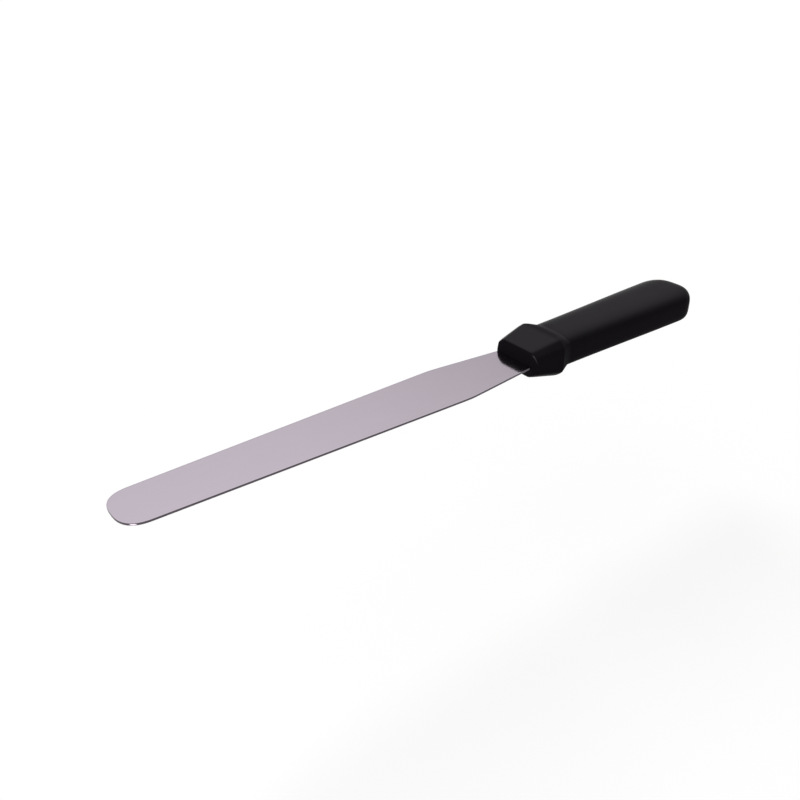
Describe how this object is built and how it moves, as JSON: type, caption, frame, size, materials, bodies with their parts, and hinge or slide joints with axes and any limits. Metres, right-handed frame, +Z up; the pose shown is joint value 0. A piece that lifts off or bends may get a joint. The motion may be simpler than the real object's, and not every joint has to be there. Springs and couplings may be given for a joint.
{
  "type": "flexible palette knife",
  "caption": "Long, thin, round-ended flexible steel blade with a tang moulded into a black plastic handle with a flared finger guard, for spreading, scraping and filling.",
  "frame": {"origin": "under the middle of the knife's length and width, on the surface that it lies on, level with the lowest point of the handle", "axes": "+X along the knife towards the blade's tip, +Z up, square to the flat of the blade, +Y across the blade"},
  "size_m": [0.3236, 0.0322, 0.0195],
  "materials": {
    "satin_steel": "satin",
    "black_plastic": "satin"
  },
  "bodies": {
    "handle": {"handle": "black_plastic", "tang": "satin_steel"},
    "blade": {"blade": "satin_steel"}
  },
  "joints": [
    {"name": "blade_flex", "type": "hinge", "parent": "handle", "child": "blade", "pos_m": [-0.0377, 0, 0.00916], "axis": [0, -1, 0], "range_deg": [-25, 25], "stiffness_Nm_per_rad": 6.9}
  ]
}
